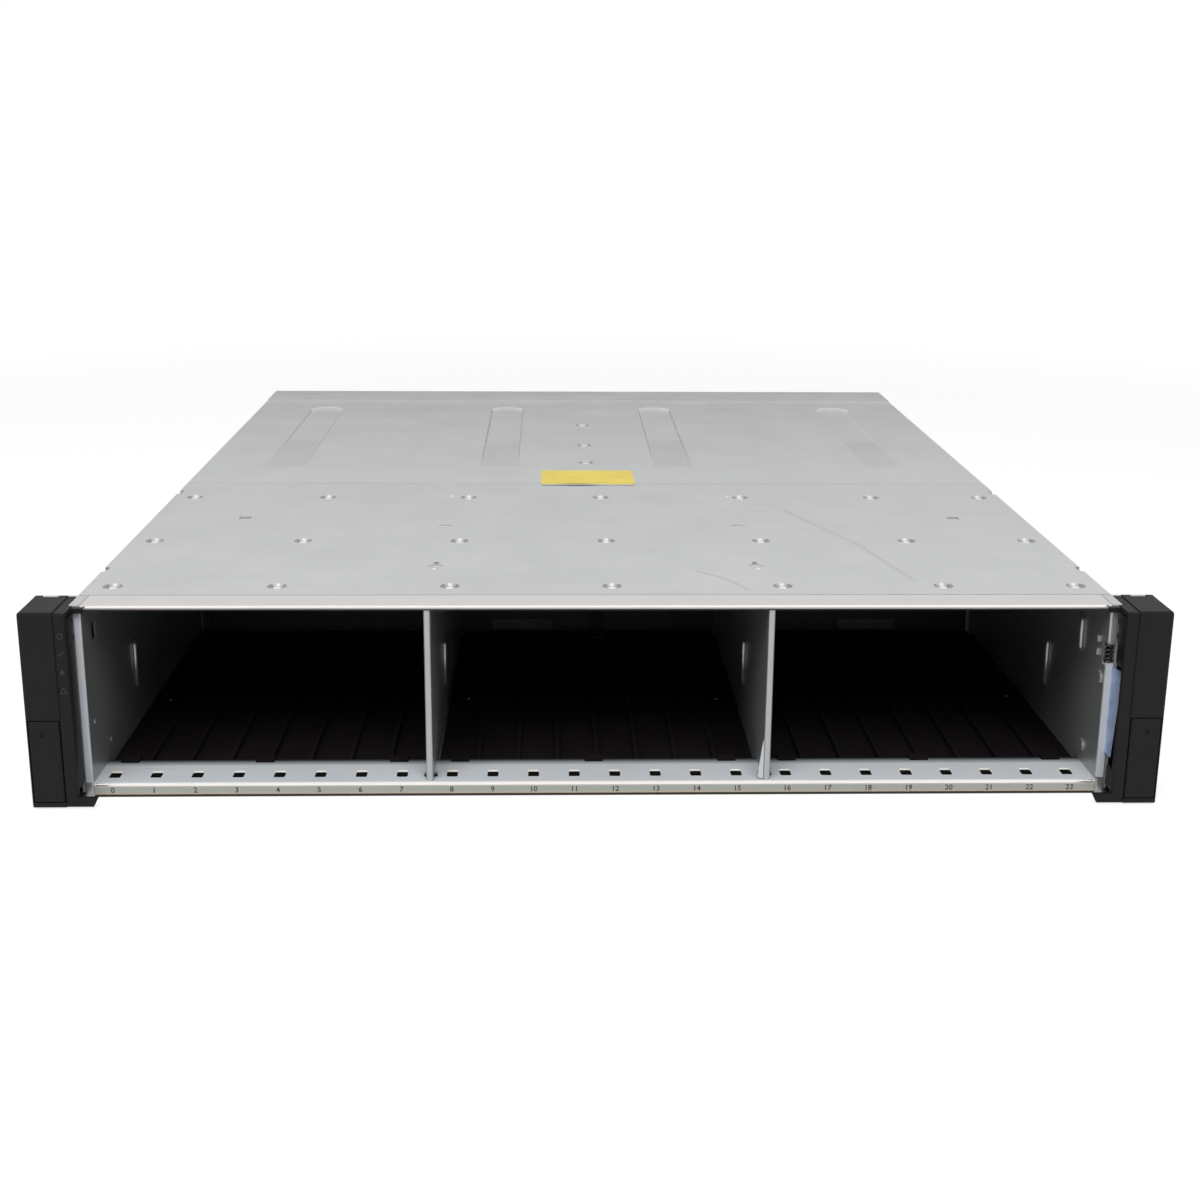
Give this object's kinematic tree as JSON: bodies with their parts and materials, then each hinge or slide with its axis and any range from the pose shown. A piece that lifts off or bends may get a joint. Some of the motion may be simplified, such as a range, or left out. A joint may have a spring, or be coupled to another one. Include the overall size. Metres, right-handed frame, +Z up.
{
  "type": "nvme storage array",
  "caption": "Low sheet-metal rack enclosure with a row of empty upright drive bays, black end caps with small doors, a sprung latch, and sliding controller and power modules behind.",
  "frame": {"origin": "centre of the underside of the sheet-metal body", "axes": "+X to the right seen from the front, +Y from the bays to the rear, +Z up"},
  "size_m": [0.4826, 0.5639, 0.087],
  "materials": {
    "zinc_sheet": "satin zinc-plated steel sheet",
    "rivet_steel": "plain steel rivets",
    "guide_plastic": "matte black moulding",
    "circuit_board": "lacquered circuit board",
    "connector_plastic": "matte black moulding",
    "cap_plastic": "finely grained black moulding",
    "clear_plastic": "clear moulding",
    "latch_plastic": "light blue moulding",
    "spring_steel": "bright spring wire",
    "module_sheet": "satin zinc-plated steel sheet",
    "port_steel": "bright pressed shells",
    "lever_plastic": "dark grey moulding",
    "fan_plastic": "black moulding"
  },
  "bodies": {
    "chassis": {"base_pan": "zinc_sheet", "front_sill": "zinc_sheet", "left_side_wall": "zinc_sheet", "right_side_wall": "zinc_sheet", "left_bay_liner": "zinc_sheet", "right_bay_liner": "zinc_sheet", "left_partition": "zinc_sheet", "right_partition": "zinc_sheet", "left_guide_floor": "guide_plastic", "middle_guide_floor": "guide_plastic", "right_guide_floor": "guide_plastic", "guide_roofs": "guide_plastic", "front_top_rail": "zinc_sheet", "front_top_panel": "zinc_sheet", "rear_top_cover": "zinc_sheet", "top_rivets": "rivet_steel", "midplane_board": "circuit_board", "drive_connectors": "connector_plastic", "module_connectors": "connector_plastic", "midplane_frame": "zinc_sheet", "left_bay_divider": "zinc_sheet", "right_bay_divider": "zinc_sheet", "canister_shelf": "zinc_sheet", "left_ear_bracket": "zinc_sheet", "right_ear_bracket": "zinc_sheet", "left_end_cap": "cap_plastic", "right_end_cap": "cap_plastic", "light_pipes": "clear_plastic", "indicator_board": "circuit_board", "latch_spring": "spring_steel"},
    "left_cap_door": {"left_cap_door": "cap_plastic"},
    "right_cap_door": {"right_cap_door": "cap_plastic"},
    "latch": {"latch_slider": "zinc_sheet", "latch_tab": "latch_plastic"},
    "lower_canister": {"lower_canister_case": "module_sheet", "lower_canister_board": "circuit_board", "lower_canister_faceplate": "module_sheet", "lower_canister_host_ports": "port_steel", "lower_canister_network_ports": "port_steel"},
    "lower_canister_left_lever": {"lower_canister_left_lever": "lever_plastic"},
    "lower_canister_right_lever": {"lower_canister_right_lever": "lever_plastic"},
    "upper_canister": {"upper_canister_case": "module_sheet", "upper_canister_board": "circuit_board", "upper_canister_faceplate": "module_sheet", "upper_canister_host_ports": "port_steel", "upper_canister_network_ports": "port_steel"},
    "upper_canister_left_lever": {"upper_canister_left_lever": "lever_plastic"},
    "upper_canister_right_lever": {"upper_canister_right_lever": "lever_plastic"},
    "left_power": {"left_power_case": "module_sheet", "left_power_faceplate": "module_sheet", "left_power_inlet": "connector_plastic", "left_power_fan_frame": "fan_plastic"},
    "left_power_lever": {"left_power_lever": "lever_plastic"},
    "left_power_fan": {"left_power_fan_rotor": "fan_plastic"},
    "right_power": {"right_power_case": "module_sheet", "right_power_faceplate": "module_sheet", "right_power_inlet": "connector_plastic", "right_power_fan_frame": "fan_plastic"},
    "right_power_lever": {"right_power_lever": "lever_plastic"},
    "right_power_fan": {"right_power_fan_rotor": "fan_plastic"}
  },
  "joints": [
    {"name": "left_cap_door_hinge", "type": "hinge", "parent": "chassis", "child": "left_cap_door", "pos_m": [-0.2284, -0.2813, 0.021], "axis": [0, 0, 1], "range_deg": [0, 110]},
    {"name": "right_cap_door_hinge", "type": "hinge", "parent": "chassis", "child": "right_cap_door", "pos_m": [0.2284, -0.2813, 0.021], "axis": [0, 0, -1], "range_deg": [0, 110]},
    {"name": "latch_slide", "type": "slide", "parent": "chassis", "child": "latch", "axis": [0, 0, 1], "range_m": [0, 0.005], "stiffness_N_per_m": 400, "springref_m": -0.003, "deforming": ["latch_spring"]},
    {"name": "lower_canister_slide", "type": "slide", "parent": "chassis", "child": "lower_canister", "axis": [0, 1, 0], "range_m": [0, 0.285]},
    {"name": "lower_canister_left_lever_hinge", "type": "hinge", "parent": "lower_canister", "child": "lower_canister_left_lever", "pos_m": [-0.099, 0.277, 0.0311], "axis": [0, 0, 1], "range_deg": [0, 75]},
    {"name": "lower_canister_right_lever_hinge", "type": "hinge", "parent": "lower_canister", "child": "lower_canister_right_lever", "pos_m": [0.099, 0.277, 0.0311], "axis": [0, 0, -1], "range_deg": [0, 75]},
    {"name": "upper_canister_slide", "type": "slide", "parent": "chassis", "child": "upper_canister", "axis": [0, 1, 0], "range_m": [0, 0.285]},
    {"name": "upper_canister_left_lever_hinge", "type": "hinge", "parent": "upper_canister", "child": "upper_canister_left_lever", "pos_m": [0.099, 0.277, 0.0541], "axis": [0, 0, -1], "range_deg": [0, 75]},
    {"name": "upper_canister_right_lever_hinge", "type": "hinge", "parent": "upper_canister", "child": "upper_canister_right_lever", "pos_m": [-0.099, 0.277, 0.0541], "axis": [0, 0, 1], "range_deg": [0, 75]},
    {"name": "left_power_slide", "type": "slide", "parent": "chassis", "child": "left_power", "axis": [0, 1, 0], "range_m": [0, 0.285]},
    {"name": "left_power_lever_hinge", "type": "hinge", "parent": "left_power", "child": "left_power_lever", "pos_m": [-0.1192, 0.277, 0.0157], "axis": [0, 0, -1], "range_deg": [0, 75]},
    {"name": "left_power_fan_spin", "type": "hinge", "parent": "left_power", "child": "left_power_fan", "pos_m": [-0.1843, 0.2565, 0.0426], "axis": [0, 1, 0], "continuous": true},
    {"name": "right_power_slide", "type": "slide", "parent": "chassis", "child": "right_power", "axis": [0, 1, 0], "range_m": [0, 0.285]},
    {"name": "right_power_lever_hinge", "type": "hinge", "parent": "right_power", "child": "right_power_lever", "pos_m": [0.1192, 0.277, 0.0695], "axis": [0, 0, 1], "range_deg": [0, 75]},
    {"name": "right_power_fan_spin", "type": "hinge", "parent": "right_power", "child": "right_power_fan", "pos_m": [0.1843, 0.2565, 0.0426], "axis": [0, 1, 0], "continuous": true}
  ]
}
